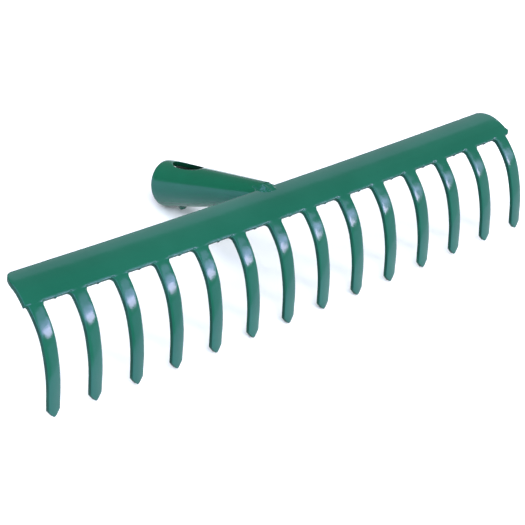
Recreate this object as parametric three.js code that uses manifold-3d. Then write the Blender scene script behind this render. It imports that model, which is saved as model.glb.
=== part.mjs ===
// Garden rake head: one pressed steel sheet with a crowned bar and fourteen curved teeth, and a
// rolled conical socket welded behind the middle of the bar to take a wooden handle.
//
// The head is drawn first with its tooth tips pointing straight down: X runs along the bar, Y
// backwards to the socket mouth, Z up, and Y = Z = 0 lies on the outer face of the sheet where the
// gaps between the teeth begin. It is then tipped onto its tooth tips and the rim of the socket.
import * as THREE from 'three';
import { mergeVertices } from 'three/addons/utils/BufferGeometryUtils.js';
import Module from 'manifold-3d';

const wasm = await Module();
wasm.setup();

// ---- Driving dimensions: millimetres, and degrees for every slope and angle ----

// Pressed sheet
const SHEET = 2.4; // thickness
const TOOTH_COUNT = 14;
const TOOTH_PITCH = 27;
const TOOTH_LENGTH = 55.4; // along the curve, gap root to tip
const TOOTH_ROOT_WIDTH = 8.7;
const TOOTH_TIP_WIDTH = 7.1;
const TOOTH_SLOPES = [45, 59, 74.5, 82, 91, 87.5]; // at equal steps from root to tip
// How far each tooth's root is off its even place along the bar, from the first tooth at -X to the
// last, and how much further its tip leans
const TOOTH_SHIFTS = [0, 0.1, 0.2, 0.6, 1, 0.8, 0.3, 0, -0.2, -0.1, -0.3, -0.8, -1.2, -1.5];
const TOOTH_LEANS = [0, -0.6, -0.4, -1, -0.7, -0.5, -0.4, -0.2, -0.1, -0.2, 0.6, 1.4, 2.3, 2.9];
const POINT_LENGTH = 3.6; // the V at the end of a tooth
const POINT_BLUNT = 0.18; // width left at the very tip, as a share of the tooth's width
const GAP_FILLET = 2.4; // radius in the corners of each gap
const END_FILLET = 0.9; // radius outside the first and last tooth

// Bar
const BAR_LENGTH = 363.2; // along the gap roots
const BAR_WIDTH = 21.4; // along the section, gap root to back edge
const WEB_FLAT = 1; // flat stretch above the gap roots
const CROWN_RADIUS = 28.8; // outer face of the bar
const END_SLANT = 0.116; // each end leans inward by this much per millimetre of width
const CORNER_DEPTH = 8.5; // rounded back corner, measured across the bar
const CORNER_LENGTH = 5.4; // the same corner, measured along the bar
const BOW = 3.9; // how far the ends of the bar stand out from its middle
const BOW_DIRECTION = 54; // direction of that bow above the horizontal, towards the front

// Socket
const MOUTH_RADIUS = 12.7; // outside
const SOCKET_TAPER = 0.082; // radius lost per millimetre of length
const SOCKET_LENGTH = 86; // mouth to the end of the tongue under the bar
const SOCKET_WALL = 2.4;
const SOCKET_SLOPE = -11.3; // the axis falls towards the mouth
const MOUTH_Y = 89.3; // centre of the mouth
const MOUTH_Z = -9;
const SLOT_LENGTH = 20.6; // long oval hole in the top of the socket
const SLOT_WIDTH = 9.8;
const SLOT_FROM_MOUTH = 17.8;
const SCREW_HOLE_RADIUS = 1.3; // pierced hole underneath, with its burr left on
const BURR_RADIUS = 2.1;
const BURR_HEIGHT = 1.8;
const SCREW_FROM_MOUTH = 10.3;
const SEAM = 0.5; // slit where the edges of the rolled sheet meet, on the +X side

// Welds
const TOP_BEAD_RADIUS = 2.1;
const UNDER_BEAD_RADIUS = 2;

// Everything
const CLEARANCE = 0.3; // between touching pieces
const REST_TILT = 17.15; // brings the tooth tips and the socket rim onto one plane

const rad = THREE.MathUtils.degToRad;
const HALF_BAR = BAR_LENGTH / 2;
const FIRST_TOOTH = -TOOTH_PITCH * (TOOTH_COUNT - 1) / 2;

// ---- Materials ----

const enamel = new THREE.MeshStandardMaterial({ color: 0x266f5b, roughness: 0.28, metalness: 0 });
const weldEnamel = new THREE.MeshStandardMaterial({ color: 0x1f6650, roughness: 0.35, metalness: 0 });

// ---- Solids: joining and cutting ----

function solid(geometry) {
  const bare = geometry.clone();
  bare.deleteAttribute('normal');
  bare.deleteAttribute('uv');
  const welded = mergeVertices(bare, 1e-5);
  return new wasm.Manifold(new wasm.Mesh({
    numProp: 3,
    vertProperties: new Float32Array(welded.attributes.position.array),
    triVerts: new Uint32Array(welded.index.array),
  }));
}

function geometryOf(manifold) {
  const mesh = manifold.getMesh();
  const geometry = new THREE.BufferGeometry();
  geometry.setAttribute('position', new THREE.BufferAttribute(mesh.vertProperties, 3));
  geometry.setIndex(new THREE.BufferAttribute(mesh.triVerts, 1));
  geometry.computeVertexNormals();
  return geometry;
}

function part(name, manifold, material) {
  const mesh = new THREE.Mesh(geometryOf(manifold), material);
  mesh.name = name;
  return mesh;
}

// ---- The section of the pressed sheet ----

// s runs along the outer face: 0 at the gap roots, positive up the bar, negative down a tooth.
// The slope is the direction in which s grows, measured from the horizontal.
function slopeAt(s) {
  if (s >= 0) {
    const turned = Math.max(s - WEB_FLAT, 0) / CROWN_RADIUS;
    return rad(TOOTH_SLOPES[0]) - turned;
  }
  const step = Math.min(-s / TOOTH_LENGTH, 1) * (TOOTH_SLOPES.length - 1);
  const i = Math.min(Math.floor(step), TOOTH_SLOPES.length - 2);
  return rad(THREE.MathUtils.lerp(TOOTH_SLOPES[i], TOOTH_SLOPES[i + 1], step - i));
}

// The point on the outer face at s, reached in short straight steps from the gap roots.
function outerFace(s) {
  const steps = Math.max(Math.ceil(Math.abs(s) / 0.5), 1);
  const step = s / steps;
  let y = 0;
  let z = 0;
  for (let i = 0; i < steps; i++) {
    const slope = slopeAt((i + 0.5) * step);
    y += Math.cos(slope) * step;
    z += Math.sin(slope) * step;
  }
  return { y, z };
}

// A point of the head: x along the bar, s along the section, depth below the outer face.
function sheetPoint(x, s, depth) {
  const { y, z } = outerFace(s);
  const slope = slopeAt(s);
  const bow = BOW * (x / HALF_BAR) ** 2;
  return new THREE.Vector3(
    x,
    y + Math.sin(slope) * depth - Math.cos(rad(BOW_DIRECTION)) * bow,
    z - Math.cos(slope) * depth + Math.sin(rad(BOW_DIRECTION)) * bow,
  );
}

// A slab of sheet. rows lists s from the lower end up, and columns lists functions of s that give
// x, from left to right.
function pressedSlab(columns, rows) {
  const across = columns.length - 1;
  const along = rows.length - 1;
  const slab = new THREE.BoxGeometry(across, along, 1, across, along, 1);
  slab.translate(across / 2, along / 2, 1 / 2);
  const position = slab.attributes.position;
  for (let i = 0; i < position.count; i++) {
    const column = columns[Math.round(position.getX(i))];
    const s = rows[Math.round(position.getY(i))];
    const depth = Math.round(position.getZ(i)) === 1 ? 0 : SHEET;
    const point = sheetPoint(column(s), s, depth);
    position.setXYZ(i, point.x, point.y, point.z);
  }
  return solid(slab);
}

// ---- Rake head ----

function toothX(tooth) {
  return FIRST_TOOTH + tooth * TOOTH_PITCH + TOOTH_SHIFTS[tooth];
}

// How far the side of a tooth stands from its middle line, with the fillet at the root and the
// point at the tip.
function toothHalfWidth(s, fillet) {
  const fromRoot = Math.max(-s, 0);
  const fromTip = TOOTH_LENGTH + s;
  let half = THREE.MathUtils.lerp(TOOTH_ROOT_WIDTH, TOOTH_TIP_WIDTH, fromRoot / TOOTH_LENGTH) / 2;
  if (fromRoot < fillet) half += fillet - Math.sqrt(fillet ** 2 - (fillet - fromRoot) ** 2);
  if (fromTip < POINT_LENGTH) {
    half *= THREE.MathUtils.lerp(POINT_BLUNT, 1, (fromTip / POINT_LENGTH) ** 0.8);
  }
  return half;
}

function leftFillet(tooth) {
  return tooth === 0 ? END_FILLET : GAP_FILLET;
}

function rightFillet(tooth) {
  return tooth === TOOTH_COUNT - 1 ? END_FILLET : GAP_FILLET;
}

function tooth(index) {
  const middle = (s) => toothX(index) + TOOTH_LEANS[index] * Math.max(-s, 0) / TOOTH_LENGTH;
  const sides = [
    (s) => middle(s) - toothHalfWidth(s, leftFillet(index)),
    (s) => middle(s) + toothHalfWidth(s, rightFillet(index)),
  ];
  const rows = [0, 0.12, 0.5, 1].map((t) => t * POINT_LENGTH - TOOTH_LENGTH);
  const bends = 14;
  for (let i = 1; i < bends; i++) {
    rows.push(THREE.MathUtils.lerp(POINT_LENGTH - TOOTH_LENGTH, -GAP_FILLET, i / bends));
  }
  for (const angle of [0, 30, 60, 90]) {
    rows.push(GAP_FILLET * (Math.sin(rad(angle)) - 1));
  }
  rows.push(WEB_FLAT);
  return pressedSlab(sides, rows);
}

// Half the length of the bar at s, with its slanted end and rounded back corner.
function barHalfLength(s) {
  const corner = Math.min(Math.max((s - BAR_WIDTH + CORNER_DEPTH) / CORNER_DEPTH, 0), 1);
  return HALF_BAR - END_SLANT * s - CORNER_LENGTH * (1 - Math.sqrt(1 - corner ** 2));
}

// The right-hand end reaches further and keeps a small ear at the last tooth's root.
function rightEnd(s) {
  const ear = [[0, 180.7], [1, 182], [2.2, 183.1], [4.2, 181.9]];
  for (let i = 1; i < ear.length; i++) {
    if (s <= ear[i][0]) {
      const t = (s - ear[i - 1][0]) / (ear[i][0] - ear[i - 1][0]);
      return THREE.MathUtils.lerp(ear[i - 1][1], ear[i][1], t);
    }
  }
  return barHalfLength(s) + 0.75;
}

function bar() {
  const columns = [(s) => -barHalfLength(s)];
  for (let i = 0; i < TOOTH_COUNT; i++) {
    const left = toothX(i) - toothHalfWidth(0, leftFillet(i));
    const right = toothX(i) + toothHalfWidth(0, rightFillet(i));
    columns.push(() => left, () => right);
  }
  // The corner cuts in past the root of the outer tooth, so its column follows the bar's end.
  const outer = columns.length - 1;
  const lastRoot = columns[outer]();
  columns[1] = (s) => Math.max(-lastRoot, 1 - barHalfLength(s));
  columns[outer] = (s) => Math.min(lastRoot, rightEnd(s) - 1);
  columns.push((s) => rightEnd(s));
  const rows = [0, WEB_FLAT, 2.2, 4.2];
  const crownSteps = 4;
  for (let i = 2; i < crownSteps; i++) {
    rows.push(THREE.MathUtils.lerp(WEB_FLAT, BAR_WIDTH - CORNER_DEPTH, i / crownSteps));
  }
  for (const angle of [0, 22.5, 45, 67.5, 90]) {
    rows.push(BAR_WIDTH - CORNER_DEPTH * (1 - Math.sin(rad(angle))));
  }
  return pressedSlab(columns, rows);
}

function rakeHead() {
  let head = bar();
  for (let i = 0; i < TOOTH_COUNT; i++) head = head.add(tooth(i));
  return head;
}

// ---- Socket ----

// Moves a shape drawn around the socket's mouth, with its axis on Y and the bar at -Y, into place.
function onSocket(geometry) {
  return geometry.rotateX(rad(SOCKET_SLOPE)).translate(0, MOUTH_Y, MOUTH_Z);
}

function socketRadius(fromMouth) {
  return MOUTH_RADIUS - SOCKET_TAPER * fromMouth;
}

// A cone between two distances from the mouth, grown or shrunk by extra all over.
function cone(start, end, extra) {
  const geometry = new THREE.LatheGeometry([
    new THREE.Vector2(0, -end),
    new THREE.Vector2(socketRadius(end) + extra, -end),
    new THREE.Vector2(socketRadius(start) + extra, -start),
    new THREE.Vector2(0, -start),
  ], 48);
  return solid(onSocket(geometry));
}

// Everything above the bar's lower face, which the socket's front end is cut to.
function aboveBar(clearance) {
  const outline = [];
  const back = sheetPoint(0, BAR_WIDTH, SHEET + clearance);
  outline.push(new THREE.Vector2(back.y + clearance, 40));
  outline.push(new THREE.Vector2(back.y + clearance, back.z));
  const steps = 8;
  for (let i = 1; i <= steps; i++) {
    const point = sheetPoint(0, BAR_WIDTH * (1 - i / steps), SHEET + clearance);
    outline.push(new THREE.Vector2(point.y, point.z));
  }
  outline.push(new THREE.Vector2(-15, outline.at(-1).y));
  outline.push(new THREE.Vector2(-15, 40));
  return acrossBar(outline, 60);
}

// A prism along X with its section given in Y and Z.
function acrossBar(outline, length) {
  const shape = new THREE.Shape(outline);
  const geometry = new THREE.ExtrudeGeometry(shape, { depth: length, bevelEnabled: false });
  geometry.translate(0, 0, -length / 2);
  geometry.applyMatrix4(new THREE.Matrix4().makeBasis(
    new THREE.Vector3(0, 1, 0),
    new THREE.Vector3(0, 0, 1),
    new THREE.Vector3(1, 0, 0),
  ));
  return solid(geometry);
}

// The long oval hole through the top wall.
function slot() {
  const oval = new THREE.Shape();
  oval.absellipse(0, -SLOT_FROM_MOUTH, SLOT_WIDTH / 2, SLOT_LENGTH / 2, 0, 2 * Math.PI);
  const options = { depth: 20, bevelEnabled: false, curveSegments: 12 };
  const geometry = new THREE.ExtrudeGeometry(oval, options);
  return solid(onSocket(geometry));
}

// A round pin under the socket at the screw hole, standing out of the wall by reach.
function underPin(radius, top, reach) {
  const bottom = -socketRadius(SCREW_FROM_MOUTH) - reach;
  const geometry = new THREE.CylinderGeometry(radius, radius, top - bottom, 20);
  geometry.rotateX(rad(90));
  geometry.translate(0, -SCREW_FROM_MOUTH, (top + bottom) / 2);
  return solid(onSocket(geometry));
}

function seam() {
  const geometry = new THREE.BoxGeometry(20, SOCKET_LENGTH + 10, SEAM);
  geometry.translate(10, -SOCKET_LENGTH / 2, 0);
  return solid(onSocket(geometry));
}

function socket() {
  const burrTop = -socketRadius(SCREW_FROM_MOUTH) + SOCKET_WALL / 2;
  return cone(0, SOCKET_LENGTH, 0)
    .add(underPin(BURR_RADIUS, burrTop, BURR_HEIGHT))
    .subtract(cone(-1, SOCKET_LENGTH + 1, -SOCKET_WALL))
    .subtract(underPin(SCREW_HOLE_RADIUS, 0, 5))
    .subtract(slot())
    .subtract(seam())
    .subtract(aboveBar(CLEARANCE));
}

// ---- Welds ----

// The bar's sheet near the socket, grown by the clearance all round.
function barSection(clearance) {
  const outer = [];
  const inner = [];
  const steps = 8;
  for (let i = 0; i <= steps; i++) {
    const s = THREE.MathUtils.lerp(-1, BAR_WIDTH, i / steps);
    const top = sheetPoint(0, s, -clearance);
    const bottom = sheetPoint(0, s, SHEET + clearance);
    const past = i === steps ? clearance : 0;
    outer.push(new THREE.Vector2(top.y + past, top.z));
    inner.unshift(new THREE.Vector2(bottom.y + past, bottom.z));
  }
  return acrossBar([...inner, ...outer].reverse(), 60);
}

// A bead of weld along a path, hollowed to leave the clearance to the bar and the socket.
function bead(points, radius) {
  const section = new THREE.Shape();
  section.absarc(0, 0, radius, 0, 2 * Math.PI);
  const path = new THREE.CatmullRomCurve3(points);
  const options = { steps: 20, extrudePath: path, curveSegments: 5 };
  const geometry = new THREE.ExtrudeGeometry(section, options);
  return solid(geometry)
    .subtract(barSection(CLEARANCE))
    .subtract(cone(-1, SOCKET_LENGTH + 1, CLEARANCE));
}

// The middle of the socket on a plane across it at y: its distance from the mouth, and its height.
function socketAxis(y) {
  const fromMouth = (MOUTH_Y - y) / Math.cos(rad(SOCKET_SLOPE));
  return { fromMouth, z: MOUTH_Z - Math.sin(rad(SOCKET_SLOPE)) * fromMouth };
}

// Over the top of the socket, filling the corner between its end and the bar's outer face.
function topWeld() {
  const back = sheetPoint(0, BAR_WIDTH, 0);
  const axis = socketAxis(back.y);
  const radius = socketRadius(axis.fromMouth);
  const points = [];
  for (let angle = -66; angle <= 66; angle += 22) {
    points.push(new THREE.Vector3(
      Math.sin(rad(angle)) * radius,
      back.y - 0.2,
      Math.max(axis.z + Math.cos(rad(angle)) * radius - 0.9, back.z + 0.2),
    ));
  }
  return bead(points, TOP_BEAD_RADIUS);
}

// The point at s where the socket's outside runs into the bar's inner face, on the +X side.
function tongueEdge(s) {
  const point = sheetPoint(0, s, SHEET);
  const axis = socketAxis(point.y);
  const square = socketRadius(axis.fromMouth) ** 2 - (point.z - axis.z) ** 2;
  point.x = Math.sqrt(Math.max(square, 0));
  return point;
}

// Round the tongue, filling the corner between the socket and the bar's inner face.
function underWeld() {
  const points = [];
  let s = BAR_WIDTH - 1.5;
  while (tongueEdge(s).x > 1) {
    points.push(tongueEdge(s));
    s -= 1.8;
  }
  const mirrored = points.map((point) => new THREE.Vector3(-point.x, point.y, point.z)).reverse();
  return bead([...points, ...mirrored], UNDER_BEAD_RADIUS);
}

// ---- Assembly ----

const rake = new THREE.Group();
rake.add(
  part('rake_head', rakeHead(), enamel),
  part('socket', socket(), enamel),
  part('weld_top', topWeld(), weldEnamel),
  part('weld_under', underWeld(), weldEnamel),
);
rake.rotation.x = -rad(REST_TILT);

// The origin is under the middle of the rake, on the ground.
const extent = new THREE.Box3().setFromObject(rake, true);
const middle = extent.getCenter(new THREE.Vector3());
rake.position.set(-middle.x, -middle.y, -extent.min.z);

export default rake;
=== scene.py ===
"""Garden rake head: an enamelled steel pressing with fourteen curved teeth, and the rolled conical
socket that is welded behind its bar. Lengths are in metres unless a name says otherwise."""
import math

import bmesh
import bpy
import numpy as np
from mathutils import Matrix, Vector, noise


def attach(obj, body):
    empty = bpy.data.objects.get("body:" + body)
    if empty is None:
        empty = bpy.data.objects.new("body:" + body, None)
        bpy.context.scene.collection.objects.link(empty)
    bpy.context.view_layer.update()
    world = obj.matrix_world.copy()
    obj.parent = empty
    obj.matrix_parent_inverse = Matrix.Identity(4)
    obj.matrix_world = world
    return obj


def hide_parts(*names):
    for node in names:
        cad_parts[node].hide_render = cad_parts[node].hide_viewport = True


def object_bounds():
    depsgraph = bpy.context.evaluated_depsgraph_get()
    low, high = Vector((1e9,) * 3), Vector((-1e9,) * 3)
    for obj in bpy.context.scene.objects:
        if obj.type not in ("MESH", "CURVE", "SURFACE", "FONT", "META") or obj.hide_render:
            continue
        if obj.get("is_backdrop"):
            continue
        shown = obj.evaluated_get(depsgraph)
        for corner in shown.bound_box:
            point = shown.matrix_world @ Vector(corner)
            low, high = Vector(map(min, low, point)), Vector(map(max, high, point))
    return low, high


MM = 0.001

# ---- Driving dimensions, the same as the frame's ----

# Pressed sheet
SHEET = 2.4 * MM
TOOTH_COUNT = 14
TOOTH_PITCH = 27 * MM
TOOTH_LENGTH = 55.4 * MM
TOOTH_ROOT_WIDTH = 8.7 * MM
TOOTH_TIP_WIDTH = 7.1 * MM
TOOTH_SLOPES = (45, 59, 74.5, 82, 91, 87.5)
# In mm, from the first tooth at -X: how far each root is off its even place, and how the tip leans
TOOTH_SHIFTS = (0, 0.1, 0.2, 0.6, 1, 0.8, 0.3, 0, -0.2, -0.1, -0.3, -0.8, -1.2, -1.5)
TOOTH_LEANS = (0, -0.6, -0.4, -1, -0.7, -0.5, -0.4, -0.2, -0.1, -0.2, 0.6, 1.4, 2.3, 2.9)
POINT_LENGTH = 3.6 * MM
GAP_FILLET = 2.4 * MM
END_FILLET = 0.9 * MM
BAR_LENGTH = 363.2 * MM
BAR_WIDTH = 21.4 * MM
WEB_FLAT = 1 * MM
CROWN_RADIUS = 28.8 * MM
END_SLANT = 0.116
RIGHT_END_EXTRA = 0.75 * MM
RIGHT_EAR = ((0, 180.7), (1, 182), (2.2, 183.1), (4.2, 181.9))   # in mm: up the bar, and x
CORNER_DEPTH = 8.5 * MM
CORNER_LENGTH = 5.4 * MM
BOW = 3.9 * MM
BOW_DIRECTION = math.radians(54)

# Socket
MOUTH_RADIUS = 12.7 * MM
SOCKET_TAPER = 0.082
SOCKET_LENGTH = 86 * MM
SOCKET_WALL = 2.4 * MM
SOCKET_SLOPE = math.radians(-11.3)
MOUTH = Vector((0, 89.3 * MM, -9 * MM))
SLOT_LENGTH = 20.6 * MM
SLOT_WIDTH = 9.8 * MM
SLOT_FROM_MOUTH = 17.8 * MM
SCREW_HOLE_RADIUS = 1.3 * MM
SCREW_FROM_MOUTH = 10.3 * MM
BURR_HEIGHT = 1.8 * MM
SEAM = 0.5 * MM

# The drawn head, with its tooth tips straight down, is tipped back to rest on the ground
REST_TILT = math.radians(-17.15)
REST_PLACE = Vector((-0.75 * MM, -29.33 * MM, 46.1 * MM))

# ---- Finish of the edges ----

OUTER_ROUND = 0.34 * MM   # rounding of a cut edge on the outer face
RIM_ROUND = 1.25 * MM     # the same round the socket's mouth
INNER_ROUND = 0.2 * MM    # and on the inner face
EDGE_ROLL = 0.1 * MM      # how far the outer face falls towards an edge, from blanking
ROLL_REACH = 0.9 * MM
TOOTH_CROWN = 0.26 * MM   # how far the lower part of a tooth's outer face stands up along its middle
NICK_DEPTH = 0.45 * MM    # small tab left in the middle of each gap's root
NICK_WIDTH = 0.5 * MM
BAR_RIPPLE = 0.05 * MM    # slow unevenness of the pressed faces
CROWN_START = 11 * MM    # down a tooth: its outer face is nearly flat above this, and fully crowned
CROWN_GROWTH = 17 * MM    # this much further down
FLAT_SHARE = 0.08         # part of the crown that is there from the root on
RIPPLE_FADE = 12 * MM     # above the tips, where the ripple fades out
DRAW_LINES = 0.1 * MM     # faint ridges along the bar, left by the press

HALF_BAR = BAR_LENGTH / 2
FIRST_TOOTH = -TOOTH_PITCH * (TOOTH_COUNT - 1) / 2
REST = Matrix.Translation(REST_PLACE) @ Matrix.Rotation(REST_TILT, 4, "X")


def mix(a, b, t):
    return a + (b - a) * t


def smooth_step(t):
    t = min(max(t, 0), 1)
    return t * t * (3 - 2 * t)


# ---- A thick sheet made from a flat blank ----

class Blank:
    """A flat cut sheet: points on a plane and the quads between them, counter-clockwise."""

    def __init__(self):
        self.points = []
        self.quads = []
        self.numbers = {}

    def add(self, key, point):
        if key not in self.numbers:
            self.numbers[key] = len(self.points)
            self.points.append(point)
        return self.numbers[key]

    def quad(self, *keys):
        self.quads.append([self.numbers[key] for key in keys])


def outline_of(quads):
    """The next point along the outline for each point on it, the sheet lying on the left."""
    edges = set()
    for quad in quads:
        for a, b in zip(quad, quad[1:] + quad[:1]):
            edges.add((a, b))
    return {a: b for a, b in edges if (b, a) not in edges}


def outward_at(points, before, here, after):
    """Direction away from the sheet at a corner of its outline, long enough to keep an even offset."""
    first = points[here] - points[before]
    second = points[after] - points[here]
    first = first / np.linalg.norm(first)
    second = second / np.linalg.norm(second)
    normal = np.array((first[1] + second[1], -first[0] - second[0]))
    normal = normal / np.linalg.norm(normal)
    return normal / max(normal @ np.array((first[1], -first[0])), 0.5)


def distance_to_outline(points, after):
    """How far each point lies from the outline."""
    starts = points[list(after.keys())]
    spans = points[list(after.values())] - starts
    lengths = np.maximum((spans ** 2).sum(axis=1), 1e-18)
    distances = []
    for point in points:
        along = np.clip(((point - starts) * spans).sum(axis=1) / lengths, 0, 1)
        gaps = starts + spans * along[:, None] - point
        distances.append(math.sqrt((gaps ** 2).sum(axis=1).min()))
    return distances


def rounding_room(blank, points, after, before):
    """The widest rounding for each point of the outline: about half of the quads that meet it."""
    room = {v: 1.0 for v in after}
    for quad in blank.quads:
        for a, b in zip(quad, quad[1:] + quad[:1]):
            if after.get(a) == b:
                continue
            reach = 0.45 * float(np.linalg.norm(points[a] - points[b]))
            for v in (a, b):
                if v in room and after.get(v) not in (a, b) and before[v] not in (a, b):
                    room[v] = min(room[v], reach)
    return room


RING_THIN_AND_SHADED = (0.2, 0.6, 1, 1, 1, 0.5)   # how far the enamel thins and dulls at each place of edge_section, and how much painted shade darkens it
RING_CUT = (2, 3, 4, 5)                # the steps between those places that are the cut itself


def edge_section(fall, outer, inner, thickness):
    """Places round the rounded cut edge, from the outer face to the inner one: how far outside the
    outline, and how deep."""
    section = []
    for angle in (30, 60, 90):
        turn = math.radians(angle)
        section.append((outer * (math.sin(turn) - 1), fall + outer * (1 - math.cos(turn))))
    section.append((0, mix(fall + outer, thickness - inner, 0.5)))
    for angle in (0, 45):
        turn = math.radians(angle)
        section.append((inner * (math.cos(turn) - 1), thickness - inner * (1 - math.sin(turn))))
    return section


def thicken(name, blank, place, thickness, rounding_at, dull_shaded_inside):
    """Makes a mesh from a blank. place(a, b, depth) gives the point at that depth under the outer face,
    and rounding_at(a, b) the rounding of the outer face's edge. The mesh's second material, duller and
    darkened with painted shade, goes on the cut faces, and on the inner face if the last argument is
    set."""
    points = np.array(blank.points)
    after = outline_of(blank.quads)
    before = {b: a for a, b in after.items()}
    falls = [EDGE_ROLL * math.exp(-d / ROLL_REACH) for d in distance_to_outline(points, after)]
    room = rounding_room(blank, points, after, before)
    outward = {v: outward_at(points, before[v], v, after[v]) for v in after}
    outer_round = {v: min(rounding_at(*points[v]), room[v]) for v in after}
    inner_round = {v: min(INNER_ROUND, room[v]) for v in after}

    # The outer face, then the inner one
    count = len(points)
    vertices = []
    for depth, rounding in ((0, outer_round), (thickness, inner_round)):
        for v in range(count):
            at = points[v]
            if v in after:
                at = at - outward[v] * rounding[v]
            vertices.append(place(at[0], at[1], falls[v] if depth == 0 else depth))
    faces = [list(quad) for quad in blank.quads]
    faces += [[v + count for v in reversed(quad)] for quad in blank.quads]
    dull = [0] * len(blank.quads) + [int(dull_shaded_inside)] * len(blank.quads)

    # The cut edge between them
    # per point: how far the enamel thins, and how much painted shade darkens it
    bare_and_shade = [0.0] * len(vertices)
    rings = {}
    for v in after:
        rings[v] = [v]
        section = edge_section(falls[v], outer_round[v], inner_round[v], thickness)
        for (offset, depth), thin_and_shade in zip(section, RING_THIN_AND_SHADED):
            at = points[v] + outward[v] * offset
            rings[v].append(len(vertices))
            vertices.append(place(at[0], at[1], depth))
            bare_and_shade.append(thin_and_shade)
        rings[v].append(v + count)
    for a, b in after.items():
        for i in range(len(rings[a]) - 1):
            faces.append([rings[b][i], rings[a][i], rings[a][i + 1], rings[b][i + 1]])
            # the cut faces, and the inner face when asked, take the second material: duller, and darker
            # with painted shade
            dull.append(int(i in RING_CUT or (dull_shaded_inside and i > RING_CUT[-1])))
    return sheet_object(name, vertices, faces, bare_and_shade, dull)


def sheet_object(name, vertices, faces, bare_and_shade, dull):
    """An object with that mesh. The enamel reads from cut_edge how much it thins and dulls at each
    point, and how much painted shade darkens it there.
    """
    mesh = bpy.data.meshes.new(name)
    mesh.from_pydata(vertices, [], faces)
    mesh.attributes.new("cut_edge", "FLOAT", "POINT").data.foreach_set("value", bare_and_shade)
    mesh.polygons.foreach_set("material_index", dull)
    mesh.shade_smooth()
    piece = bpy.data.objects.new(name, mesh)
    bpy.context.scene.collection.objects.link(piece)
    return piece


# ---- Rake head ----

def slope_at(s):
    """Slope of the outer face at s: 0 at the gap roots, positive up the bar, negative down a tooth."""
    if s >= 0:
        return math.radians(TOOTH_SLOPES[0]) - max(s - WEB_FLAT, 0) / CROWN_RADIUS
    step = min(-s / TOOTH_LENGTH, 1) * (len(TOOTH_SLOPES) - 1)
    i = min(int(step), len(TOOTH_SLOPES) - 2)
    return math.radians(mix(TOOTH_SLOPES[i], TOOTH_SLOPES[i + 1], step - i))


def walk_section(end):
    """Points of the outer face from the gap roots to s = end, a tenth of a millimetre apart."""
    step = math.copysign(0.1 * MM, end)
    y = z = s = 0.0
    walked = [(s, y, z)]
    while abs(s) < abs(end):
        slope = slope_at(s + step / 2)
        y += math.cos(slope) * step
        z += math.sin(slope) * step
        s += step
        walked.append((s, y, z))
    return walked


SECTION = np.array(walk_section(-TOOTH_LENGTH - 2 * MM)[:0:-1] + walk_section(BAR_WIDTH + 2 * MM))


def outer_face(s):
    return np.interp(s, SECTION[:, 0], SECTION[:, 1]), np.interp(s, SECTION[:, 0], SECTION[:, 2])


def section_point(x, s, depth):
    """A point of the drawn head: x along the bar, s along its section, depth below the outer face."""
    y, z = outer_face(s)
    slope = slope_at(s)
    bow = BOW * (x / HALF_BAR) ** 2
    return Vector((
        x,
        y + math.sin(slope) * depth - math.cos(BOW_DIRECTION) * bow,
        z - math.cos(slope) * depth + math.sin(BOW_DIRECTION) * bow,
    ))


def head_point(x, s, depth):
    """The same point at rest on the ground, with the slow unevenness of the pressing."""
    slow = noise.noise(Vector((x * 28, s * 40, 3.1)))
    ripple = slow + 0.35 * noise.noise(Vector((x * 110, s * 130, 7.7)))
    fade = smooth_step((TOOTH_LENGTH + s) / RIPPLE_FADE)
    stronger_to_left = mix(0.25, 1, smooth_step((-x - 0.08) / 0.07))
    lines = noise.noise(Vector((x * 5, s * 300, 1.9))) * stronger_to_left
    on_bar = smooth_step(1 + s / (5 * MM))
    drop = BAR_RIPPLE * ripple * fade + DRAW_LINES * lines * on_bar
    if s < 0:
        drop += tooth_fall(x, s) * (1 - depth / SHEET)
    return REST @ section_point(x, s, depth + drop)


def tooth_fall(x, s):
    """How far the outer face of a tooth has fallen below its middle line."""
    tooth = min(max(round((x - FIRST_TOOTH) / TOOTH_PITCH), 0), TOOTH_COUNT - 1)
    across = (x - tooth_middle(tooth, s)) / tooth_side(s, 0)
    growth = smooth_step((-s - CROWN_START) / CROWN_GROWTH)
    return TOOTH_CROWN * min(across ** 2, 1.2) * mix(FLAT_SHARE, 1, growth)


def tooth_x(tooth):
    return FIRST_TOOTH + tooth * TOOTH_PITCH + TOOTH_SHIFTS[tooth] * MM


def tooth_middle(tooth, s):
    """Where the middle line of a tooth lies at s. Its tip is set a little to one side."""
    return tooth_x(tooth) + TOOTH_LEANS[tooth] * MM * max(-s, 0) / TOOTH_LENGTH


def side_fillet(tooth, side):
    outside = (tooth == 0 and side < 0) or (tooth == TOOTH_COUNT - 1 and side > 0)
    return END_FILLET if outside else GAP_FILLET


def tooth_side(s, fillet):
    """How far the side of a tooth stands from its middle line."""
    from_root = max(-s, 0)
    half = mix(TOOTH_ROOT_WIDTH, TOOTH_TIP_WIDTH, from_root / TOOTH_LENGTH) / 2
    if from_root < fillet:
        half += fillet - math.sqrt(fillet ** 2 - (fillet - from_root) ** 2)
    return half


def bar_end(s, side):
    """How far the bar reaches at s. The +X end reaches further and keeps an ear at its lowest corner."""
    if side > 0 and s <= RIGHT_EAR[-1][0] * MM:
        up, reach = zip(*RIGHT_EAR)
        return float(np.interp(s / MM, up, reach)) * MM
    corner = min(max((s - BAR_WIDTH + CORNER_DEPTH) / CORNER_DEPTH, 0), 1)
    even = HALF_BAR - END_SLANT * s - CORNER_LENGTH * (1 - math.sqrt(1 - corner ** 2))
    return even + (RIGHT_END_EXTRA if side > 0 else 0)


TOOTH_COLUMNS = 8
GAP_STEPS = (0.12, 0.24, 0.35, 0.43, 0.47, 0.5, 0.53, 0.57, 0.65, 0.76, 0.88)


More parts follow.
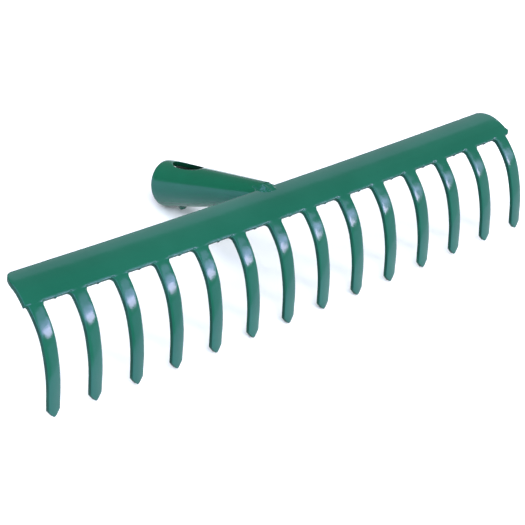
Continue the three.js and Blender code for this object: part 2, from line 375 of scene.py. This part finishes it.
def tooth_rows():
    """Rows down a tooth: where each row lies, and how much of the point's V it takes."""
    rows = [(-GAP_FILLET * (1 - math.sin(math.radians(angle))), 0) for angle in (75, 60, 45, 30, 15, 0)]
    end = -TOOTH_LENGTH + POINT_LENGTH
    steps = 40
    for i in range(1, steps + 1):
        s = mix(-GAP_FILLET, end, i / steps)
        rows.append((s, smooth_step(1 - (s - end) / (6 * MM)) ** 2))
    return rows


def point_drop(across):
    """How far the V of a tooth's point reaches down at a place across it, from -1 to 1."""
    blunt = 0.13
    side = (math.sqrt(across ** 2 + blunt ** 2) - blunt) / (math.sqrt(1 + blunt ** 2) - blunt)
    return POINT_LENGTH * (1 - side ** 1.15)


def bar_columns():
    """Key and x of each column of the bar at the gap roots, from left to right."""
    columns = [("end", -1, None)]
    for tooth in range(TOOTH_COUNT):
        left = tooth_x(tooth) - tooth_side(0, side_fillet(tooth, -1))
        right = tooth_x(tooth) + tooth_side(0, side_fillet(tooth, 1))
        for j in range(TOOTH_COLUMNS + 1):
            columns.append(("tooth", (tooth, j), mix(left, right, j / TOOTH_COLUMNS)))
        if tooth < TOOTH_COUNT - 1:
            start = tooth_x(tooth + 1) - tooth_side(0, GAP_FILLET)
            for step in GAP_STEPS:
                columns.append(("gap", (tooth, step), mix(right, start, step)))
    columns.append(("end", 1, None))
    return columns


def column_x(columns, number, s):
    """x of a column of the bar at s. The end columns follow the bar's rounded ends."""
    kind, key, x = columns[number]
    if kind == "end":
        return key * bar_end(s, key)
    limit = bar_end(s, x)
    room = 0.9 * MM
    spread = min(number, len(columns) - 1 - number)
    return math.copysign(min(abs(x), limit - room * spread), x)


def bar_rows():
    """Places across the bar of its rows of points, from the gap roots to the back edge."""
    rows = [0, 0.9 * MM, 1.6 * MM, 2.2 * MM, 3 * MM, 4.2 * MM]
    while rows[-1] < BAR_WIDTH - CORNER_DEPTH - 1.5 * MM:
        rows.append(rows[-1] + 1.3 * MM)
    for angle in range(0, 91, 10):
        rows.append(BAR_WIDTH - CORNER_DEPTH * (1 - math.sin(math.radians(angle))))
    return rows


def add_bar(blank):
    columns = bar_columns()
    rows = bar_rows()
    for i, s in enumerate(rows):
        for number, (kind, key, _) in enumerate(columns):
            x = column_x(columns, number, s)
            nick = 0
            if i == 0 and kind == "gap":
                middle = (tooth_x(key[0]) + tooth_x(key[0] + 1)) / 2
                nick = NICK_DEPTH * math.exp(-((x - middle) / NICK_WIDTH) ** 2)
            blank.add((i, number), (x, s - nick))
    for i in range(len(rows) - 1):
        for number in range(len(columns) - 1):
            blank.quad((i, number), (i, number + 1), (i + 1, number + 1), (i + 1, number))
    # The bar's first row is also the first row of each tooth.
    for number, (kind, key, _) in enumerate(columns):
        if kind == "tooth":
            blank.numbers[("tooth", *key, 0)] = blank.numbers[(0, number)]


def add_tooth(blank, tooth):
    for i, (s, point_share) in enumerate(tooth_rows(), start=1):
        left = tooth_side(s, side_fillet(tooth, -1))
        right = tooth_side(s, side_fillet(tooth, 1))
        for j in range(TOOTH_COLUMNS + 1):
            across = 2 * j / TOOTH_COLUMNS - 1
            x = tooth_middle(tooth, s) + mix(-left, right, j / TOOTH_COLUMNS)
            blank.add(("tooth", tooth, j, i), (x, s - point_share * point_drop(across)))
            if j:
                blank.quad(
                    ("tooth", tooth, j - 1, i), ("tooth", tooth, j, i),
                    ("tooth", tooth, j, i - 1), ("tooth", tooth, j - 1, i - 1),
                )


def head_blank():
    blank = Blank()
    add_bar(blank)
    for tooth in range(TOOTH_COUNT):
        add_tooth(blank, tooth)
    return blank


def rake_head():
    return thicken("pressed_head", head_blank(), head_point, SHEET, lambda a, b: OUTER_ROUND, False)


# ---- Socket ----

CONE_SINE = SOCKET_TAPER / math.sqrt(1 + SOCKET_TAPER ** 2)
CONE_COSINE = 1 / math.sqrt(1 + SOCKET_TAPER ** 2)
MOUTH_SLANT = MOUTH_RADIUS / CONE_SINE   # apex to mouth, along the wall
SOCKET_STEP = 0.86 * MM
SOCKET_ROWS = (0, *range(3, 101))   # wider first, to leave room for the rounded rim
SOCKET_COLUMNS = 96
TRIM_START = 45 * MM     # from here on the rows shorten to the trimmed front end
FRONT_GAP = 0.1 * MM     # between the socket's front end and the bar

SOCKET_AXIS = Vector((0, math.cos(SOCKET_SLOPE), math.sin(SOCKET_SLOPE)))   # towards the mouth
SOCKET_UP = Vector((0, -math.sin(SOCKET_SLOPE), math.cos(SOCKET_SLOPE)))
ACROSS = Vector((1, 0, 0))


def wall_point(angle, from_mouth, depth):
    """A point of the drawn socket. angle is 0 on top and 90 degrees on the +X side."""
    radial = SOCKET_UP * math.cos(angle) + ACROSS * math.sin(angle)
    radius = MOUTH_RADIUS - SOCKET_TAPER * from_mouth - depth
    return MOUTH - SOCKET_AXIS * from_mouth + radial * radius


def flattened(angle, from_mouth):
    """The same place on the wall's flat blank, whose middle is the -X side."""
    slant = MOUTH_SLANT - from_mouth / CONE_COSINE
    turn = (math.pi * 1.5 - angle) * CONE_SINE
    return slant * math.cos(turn), slant * math.sin(turn)


def burr_lift(angle, from_mouth):
    """The rim of the pierced hole is pushed outwards."""
    radius = MOUTH_RADIUS - SOCKET_TAPER * from_mouth
    across = (angle - math.pi) * radius
    distance = math.hypot(across, from_mouth - SCREW_FROM_MOUTH) - SCREW_HOLE_RADIUS
    ragged = 1 + 0.25 * noise.noise(Vector((across * 700, from_mouth * 700, 1.3)))
    return BURR_HEIGHT * ragged * math.exp(-(max(distance, 0) / (0.7 * MM)) ** 2)


def socket_point(a, b, depth):
    """The blank's point, rolled into the cone and laid at rest on the ground."""
    from_mouth = (MOUTH_SLANT - math.hypot(a, b)) * CONE_COSINE
    angle = math.pi * 1.5 - math.atan2(b, a) / CONE_SINE
    dent = 0.07 * MM * noise.noise(Vector((math.cos(angle), math.sin(angle), from_mouth * 55)))
    return REST @ wall_point(angle, from_mouth, depth + dent - burr_lift(angle, from_mouth))


def bar_underside(y):
    """Height of the bar's inner face in the middle of the head."""
    stations = [section_point(0, s, SHEET) for s in np.linspace(0, BAR_WIDTH, 30)]
    return np.interp(y, [p.y for p in stations], [p.z for p in stations])


def front_end(angle):
    """How far from the mouth the wall reaches at this angle before it meets the bar."""
    back = section_point(0, BAR_WIDTH, SHEET).y + FRONT_GAP
    low, high = TRIM_START, SOCKET_LENGTH
    while high - low > 0.01 * MM:
        middle = (low + high) / 2
        point = wall_point(angle, middle, 0)
        if point.y < back and point.z > bar_underside(point.y) - FRONT_GAP:
            high = middle
        else:
            low = middle
    return low


HOLES = (
    # centre: angle in degrees and distance from the mouth; half size in grid cells; radii; and how
    # far round the hole the grid is bent, in half sizes
    (360, SLOT_FROM_MOUTH, 7, 13, SLOT_WIDTH / 2, SLOT_LENGTH / 2, 1.35),
    (180, SCREW_FROM_MOUTH, 2, 2, SCREW_HOLE_RADIUS, SCREW_HOLE_RADIUS, 3),
)


def grid_place(column, row):
    """Angle and distance from the mouth of a grid point, or None inside a hole."""
    angle = math.radians(90 + 360 * column / SOCKET_COLUMNS)
    from_mouth = row * SOCKET_STEP
    radius = MOUTH_RADIUS - SOCKET_TAPER * from_mouth
    if column in (0, SOCKET_COLUMNS):
        angle += (1 if column == 0 else -1) * SEAM / 2 / radius
    for degrees, centre, half_columns, half_rows, radius_across, radius_along, spread in HOLES:
        a = (column - (degrees - 90) * SOCKET_COLUMNS / 360) / half_columns
        b = (row - round(centre / SOCKET_STEP)) / half_rows
        reach = max(abs(a), abs(b))
        if reach < 0.999:
            return None
        if reach < spread:
            blend = (reach - 1) / (spread - 1)
            length = math.hypot(a, b)
            hole_radius = MOUTH_RADIUS - SOCKET_TAPER * centre
            rim_angle = math.radians(degrees) + a / length * radius_across / hole_radius
            rim_place = centre + b / length * radius_along
            return mix(rim_angle, angle, blend), mix(rim_place, from_mouth, blend)
    return angle, from_mouth


def socket_blank():
    blank = Blank()
    for column in range(SOCKET_COLUMNS + 1):
        end = front_end(math.radians(90 + 360 * column / SOCKET_COLUMNS))
        for row in SOCKET_ROWS:
            place = grid_place(column, row)
            if place is None:
                continue
            angle, from_mouth = place
            if from_mouth > TRIM_START:
                share = (from_mouth - TRIM_START) / (SOCKET_LENGTH - TRIM_START)
                from_mouth = mix(TRIM_START, end, share)
            blank.add((column, row), flattened(angle, from_mouth))
    for column in range(SOCKET_COLUMNS):
        for row, following in zip(SOCKET_ROWS, SOCKET_ROWS[1:]):
            corners = ((column, row), (column, following), (column + 1, following), (column + 1, row))
            if all(corner in blank.numbers for corner in corners):
                blank.quad(*corners)
    return blank


def socket_rounding(a, b):
    at_mouth = math.hypot(a, b) > MOUTH_SLANT - 0.1 * MM
    return RIM_ROUND if at_mouth else OUTER_ROUND


def socket():
    return thicken("rolled_socket", socket_blank(), socket_point, SOCKET_WALL, socket_rounding, True)


# ---- Welds ----

BEAD_GRAIN = 0.28 * MM   # size of the cells that the drops of a bead are fused in
BEAD_SKIN = 0.17 * MM    # roughness of its skin


def axis_at(y):
    """The middle of the drawn socket on a plane across it at y: distance from the mouth, height."""
    from_mouth = (MOUTH.y - y) / math.cos(SOCKET_SLOPE)
    return from_mouth, MOUTH.z - math.sin(SOCKET_SLOPE) * from_mouth


TOP_BEAD_FRONT = 5.5 * MM    # the top bead starts on the bar, this far in front of its back edge,
TOP_BEAD_BACK = 4.2 * MM     # and ends on the socket, this far behind it
TOP_BEAD_SIDES = (-8.4 * MM, 5.2 * MM)


def top_drops():
    """Drops over the top of the socket, ramping from its end down to the bar's outer face."""
    back = section_point(0, BAR_WIDTH, 0)
    from_mouth, height = axis_at(back.y)
    radius = MOUTH_RADIUS - SOCKET_TAPER * from_mouth
    toe = section_point(0, BAR_WIDTH - TOP_BEAD_FRONT, 0)
    drops = []
    for row in range(9):
        share = row / 8
        y = mix(toe.y, back.y + TOP_BEAD_BACK, share)
        size = mix(1.1, 1.7, math.sin(math.pi * share)) * MM
        reach = mix(0.5, 1, math.sin(math.pi * min(share + 0.25, 1)))
        on_bar = mix(toe.z, back.z, (y - toe.y) / (back.y - toe.y))
        climb = smooth_step((y - toe.y) / (back.y - toe.y + 1.2 * MM))
        for i in range(13):
            x = mix(*TOP_BEAD_SIDES, i / 12) * reach
            on_top = math.sqrt(max(radius ** 2 - x ** 2, 0)) - SOCKET_TAPER * (y - back.y)
            ramp = mix(on_bar, height + on_top, climb)
            lump = noise.noise(Vector((i * 0.95, row * 0.8, 2.4)))
            z = ramp - size + (0.45 * lump - 0.35) * MM
            drops.append((Vector((x, y, z)), size * (1 + 0.1 * lump)))
    return drops


def under_drops():
    """Drops round the socket's lower wall, in the corner between it and the bar's inner face."""
    drops = []
    s = BAR_WIDTH - 1.2 * MM
    while s > 0:
        point = section_point(0, s, SHEET)
        from_mouth, height = axis_at(point.y)
        radius = MOUTH_RADIUS - SOCKET_TAPER * from_mouth
        square = radius ** 2 - (point.z - height) ** 2
        if square <= 0:
            break
        x = math.sqrt(square)
        for side in (-1, 1):
            lump = noise.noise(Vector((side * 4, s * 900, 5.5)))
            drops.append((Vector((side * x, point.y, point.z)), (1.65 + 0.5 * lump) * MM))
        s -= 0.75 * MM if x > 3 * MM else 0.2 * MM
    return drops


def weld_bead(name, drops):
    """Fuses round drops into one bead with a rough skin."""
    builder = bmesh.new()
    for centre, radius in drops:
        place = REST @ Matrix.Translation(centre)
        bmesh.ops.create_icosphere(builder, subdivisions=3, radius=radius, matrix=place)
    mesh = bpy.data.meshes.new(name)
    builder.to_mesh(mesh)
    builder.free()
    piece = bpy.data.objects.new(name, mesh)
    bpy.context.scene.collection.objects.link(piece)

    fuse = piece.modifiers.new("fuse", "REMESH")
    fuse.mode = "VOXEL"
    fuse.voxel_size = BEAD_GRAIN
    relax = piece.modifiers.new("relax", "SMOOTH")
    relax.iterations = 8
    relax.factor = 0.5
    shaped = bpy.data.meshes.new_from_object(piece.evaluated_get(bpy.context.evaluated_depsgraph_get()))
    piece.modifiers.clear()
    piece.data = shaped
    bpy.data.meshes.remove(mesh)
    shaped.name = name
    for vertex in shaped.vertices:
        grain = noise.noise(vertex.co * 620) + 0.45 * noise.noise(vertex.co * 1500)
        vertex.co += vertex.normal * grain * BEAD_SKIN
    shaped.shade_smooth()
    return piece


# ---- Enamel ----

class Nodes:
    """Adds nodes to a material and joins them up."""

    def __init__(self, material):
        material.use_nodes = True
        self.tree = material.node_tree
        self.tree.nodes.clear()

    def add(self, kind, **inputs):
        node = self.tree.nodes.new(kind)
        for name, value in inputs.items():
            self.put(node.inputs[name.replace("_", " ")], value)
        return node

    def put(self, socket, value):
        if isinstance(value, bpy.types.NodeSocket):
            self.tree.links.new(value, socket)
        else:
            socket.default_value = value

    def place(self, scale):
        """Coordinates on the object, in metres, stretched by the scale on each axis."""
        coordinates = self.add("ShaderNodeTexCoord")
        mapping = self.add("ShaderNodeMapping", Vector=coordinates.outputs["Object"], Scale=scale)
        return mapping.outputs["Vector"]

    def noise(self, scale, detail, stretch=(1, 1, 1)):
        texture = self.add("ShaderNodeTexNoise", Vector=self.place(stretch), Scale=scale, Detail=detail)
        return texture.outputs["Fac"]

    def range(self, value, low, high, to_low, to_high):
        node = self.tree.nodes.new("ShaderNodeMapRange")
        for socket, given in zip(node.inputs, (value, low, high, to_low, to_high)):
            self.put(socket, given)
        return node.outputs["Result"]

    def between(self, factor, first, second):
        node = self.tree.nodes.new("ShaderNodeMix")
        node.data_type = "RGBA"
        self.put(node.inputs["Factor"], factor)
        colours = [socket for socket in node.inputs if socket.type == "RGBA"]
        self.put(colours[0], first)
        self.put(colours[1], second)
        return [socket for socket in node.outputs if socket.type == "RGBA"][0]

    def bump(self, height, strength, distance, under=None):
        node = self.add("ShaderNodeBump", Height=height, Strength=strength, Distance=distance)
        if under is not None:
            self.put(node.inputs["Normal"], under)
        return node.outputs["Normal"]


def enamel(name, deep, pale, streaks, lumps):
    """Glossy green enamel: a little uneven in tone, with orange peel, faint streaks and specks. It is
    thinner and duller over the cut edges of the sheet, and darker there with painted shade."""
    material = bpy.data.materials.new(name)
    nodes = Nodes(material)
    cloud = nodes.noise(26, 4)
    along = nodes.noise(60, 3, (0.05, 1, 1))
    fleck = nodes.noise(900, 2)
    edge = nodes.add("ShaderNodeAttribute")
    edge.attribute_name = "cut_edge"
    thin_and_shade = edge.outputs["Fac"]

    tone = nodes.between(nodes.range(cloud, 0.3, 0.7, 0, 1), deep, pale)
    streaked = nodes.between(nodes.range(along, 0.52, 0.78, 0, streaks), tone, shade(pale, 1.35))
    flecked = nodes.between(nodes.range(fleck, 0.68, 0.8, 0, 0.5), streaked, shade(deep, 0.7))
    # painted shade: the colour turns deeper over the cut edges
    colour = nodes.between(nodes.range(thin_and_shade, 0, 1, 0, 0.6), flecked, shade(deep, 0.7))

    smear = nodes.range(nodes.noise(75, 5), 0.3, 0.75, 0.11, 0.17)
    dull = nodes.add("ShaderNodeMath")
    dull.operation = "MULTIPLY_ADD"
    nodes.put(dull.inputs[0], thin_and_shade)
    nodes.put(dull.inputs[1], 0.2)
    nodes.put(dull.inputs[2], smear)
    peel = nodes.bump(nodes.noise(420, 2), 0.12, 0.2 * MM)
    drawn = nodes.bump(along, streaks, 0.25 * MM, peel)
    rough = nodes.bump(nodes.noise(1100, 3), lumps, 0.2 * MM, drawn)

    shader = nodes.add(
        "ShaderNodeBsdfPrincipled", Base_Color=colour, Roughness=dull.outputs["Value"], Normal=rough,
        IOR=1.5, Specular_Tint=REFLECTED,
    )
    output = nodes.add("ShaderNodeOutputMaterial")
    nodes.put(output.inputs["Surface"], shader.outputs["BSDF"])
    return material


def dull_enamel(name, deep, pale, density):
    """Thin enamel with little gloss, where the sheet was cut or the spray hardly reached, darkened with
    painted shade.
    """
    material = bpy.data.materials.new(name)
    nodes = Nodes(material)
    colour = nodes.between(nodes.range(nodes.noise(90, 5), 0.35, 0.65, 0, 1), deep, pale)
    smear = nodes.range(nodes.noise(240, 3), 0.3, 0.7, 0.42, 0.6)
    torn = nodes.bump(nodes.noise(900, 3), 0.25, 0.15 * MM)
    shader = nodes.add(
        "ShaderNodeBsdfPrincipled", Base_Color=colour, Roughness=smear, Normal=torn,
        IOR=density, Specular_Tint=REFLECTED,
    )
    output = nodes.add("ShaderNodeOutputMaterial")
    nodes.put(output.inputs["Surface"], shader.outputs["BSDF"])
    return material


def shade(colour, times):
    return (colour[0] * times, colour[1] * times, colour[2] * times, 1)


REFLECTED = (0.42, 0.42, 1, 1)   # the enamel's gloss looks bluish
GREEN_DEEP = (0.0045, 0.076, 0.042, 1)
GREEN_PALE = (0.0075, 0.088, 0.051, 1)
SOCKET_DEEP = (0.0030, 0.080, 0.036, 1)
SOCKET_PALE = (0.0045, 0.092, 0.044, 1)
WELD_DEEP = (0.0045, 0.075, 0.040, 1)
WELD_PALE = (0.0080, 0.100, 0.060, 1)


def finish_piece(piece, node, slot, *materials):
    for material in materials:
        piece.data.materials.append(material)
    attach(piece, "root")
    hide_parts(node)


def build_rake():
    finish_piece(rake_head(), "rake_head", "green_enamel",
                 enamel("head_enamel", GREEN_DEEP, GREEN_PALE, 0.3, 0.0),
                 # cut faces: duller, and darkened with painted shade
                 dull_enamel("cut_edge", shade(GREEN_DEEP, 0.5), shade(GREEN_DEEP, 0.8), 1.3))
    finish_piece(socket(), "socket", "socket_enamel",
                 enamel("tube_enamel", SOCKET_DEEP, SOCKET_PALE, 0.12, 0.0),
                 # inside the socket: dull, and darkened nearly to black with painted shade
                 dull_enamel("tube_inside", shade(SOCKET_DEEP, 0.14), shade(SOCKET_DEEP, 0.3), 1.08))
    weld = enamel("bead_enamel", WELD_DEEP, WELD_PALE, 0.1, 0.25)
    finish_piece(weld_bead("bead_top", top_drops()), "weld_top", "weld_enamel", weld)
    finish_piece(weld_bead("bead_under", under_drops()), "weld_under", "weld_enamel", weld)


# ---- Studio ----

FLOOR_REACH = 4.0
LENS = 143.25
LOOK = (
    # camera place, and its right, up and forward directions
    Vector((-0.749904, -0.527329, 0.606378)),
    Vector((0.675565, -0.688079, 0.264876)),
    Vector((0.255334, 0.555356, 0.791444)),
    Vector((0.691677, 0.467040, -0.550869)),
)


def floor():
    builder = bmesh.new()
    corners = ((-1, -1), (1, -1), (1, 1), (-1, 1))
    builder.faces.new([builder.verts.new((x * FLOOR_REACH, y * FLOOR_REACH, 0)) for x, y in corners])
    mesh = bpy.data.meshes.new("floor")
    builder.to_mesh(mesh)
    builder.free()
    ground = bpy.data.objects.new("floor", mesh)
    bpy.context.scene.collection.objects.link(ground)
    material = bpy.data.materials.new("pale_floor")
    nodes = Nodes(material)
    shader = nodes.add("ShaderNodeBsdfPrincipled", Base_Color=(0.93, 0.93, 0.93, 1), Roughness=0.9,
                       Specular_IOR_Level=0.0)
    output = nodes.add("ShaderNodeOutputMaterial")
    nodes.put(output.inputs["Surface"], shader.outputs["BSDF"])
    mesh.materials.append(material)
    ground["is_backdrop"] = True


def softbox(name, place, target, width, height, radiance, colour):
    """A rectangular light of that size and brightness, facing a target."""
    light = bpy.data.lights.new(name, "AREA")
    light.shape = "RECTANGLE"
    light.size = width
    light.size_y = height
    light.energy = radiance * math.pi * width * height
    light.color = colour
    lamp = bpy.data.objects.new(name, light)
    lamp.location = place
    lamp.rotation_euler = (Vector(target) - Vector(place)).to_track_quat("-Z", "Y").to_euler()
    bpy.context.scene.collection.objects.link(lamp)


def toward(azimuth, elevation, distance):
    """A point seen from the origin at that azimuth from +X and that elevation, in degrees."""
    a = math.radians(azimuth)
    e = math.radians(elevation)
    return Vector((math.cos(a) * math.cos(e), math.sin(a) * math.cos(e), math.sin(e))) * distance


TEETH = Vector((-0.1, -0.045, 0.03))   # what the teeth's lights face
ORIGIN = Vector((0, 0, 0))
COOL = (0.84, 0.88, 1)
PALE = (0.9, 0.92, 1)
WARM = (1, 0.88, 0.72)


def lights():
    world = bpy.data.worlds.new("studio")
    world.use_nodes = True
    background = world.node_tree.nodes["Background"]
    background.inputs["Color"].default_value = (0.88, 0.94, 1, 1)
    background.inputs["Strength"].default_value = 0.35
    bpy.context.scene.world = world
    softbox("overhead", (-0.55, 0, 1.7), ORIGIN, 2.3, 2.3, 3.3, COOL)
    softbox("fill", toward(-130, 38, 1.9), ORIGIN, 1.5, 1.2, 5.6, COOL)
    softbox("back_panel", toward(36, 23.5, 2.6), (0, 0, 0.2), 1.9, 1.3, 0.62, COOL)
    softbox("front_panel", toward(-40, 9.5, 1.5), (0, 0, 0.1), 1.3, 0.5, 0.9, COOL)
    softbox("glow_high", TEETH + toward(-38, 42, 2.4), TEETH, 1.2, 0.3, 2.9, PALE)
    softbox("glow", TEETH + toward(-45, 34, 2.4), TEETH, 1.2, 0.36, 6.6, (0.92, 0.93, 1))
    softbox("glow_right", TEETH + toward(-30, 28, 2.4), TEETH, 0.5, 0.4, 3.4, PALE)
    softbox("glint", TEETH + toward(-41.5, 27.5, 2.4), TEETH, 0.42, 0.36, 23, WARM)


def camera():
    place, right, up, forward = LOOK
    lens = bpy.data.cameras.new("camera")
    lens.lens = LENS
    lens.sensor_width = 36
    eye = bpy.data.objects.new("camera", lens)
    turn = Matrix((right, up, -forward)).transposed().to_4x4()
    eye.matrix_world = Matrix.Translation(place) @ turn
    bpy.context.scene.collection.objects.link(eye)
    bpy.context.scene.camera = eye


def plain(bounds):
    if isinstance(bounds, dict):
        return {key: plain(value) for key, value in bounds.items()}
    if isinstance(bounds, (int, float, str)) or bounds is None:
        return bounds
    return [plain(value) for value in bounds]


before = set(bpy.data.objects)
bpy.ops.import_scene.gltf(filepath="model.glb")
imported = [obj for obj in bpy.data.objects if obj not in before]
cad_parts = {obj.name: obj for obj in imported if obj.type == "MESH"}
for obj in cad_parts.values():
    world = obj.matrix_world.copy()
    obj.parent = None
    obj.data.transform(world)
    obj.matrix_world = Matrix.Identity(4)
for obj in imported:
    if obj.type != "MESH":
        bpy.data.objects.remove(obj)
size_before = plain(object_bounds())
build_rake()
floor()
lights()
camera()
bpy.context.scene.view_settings.view_transform = "Standard"
size_after = plain(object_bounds())
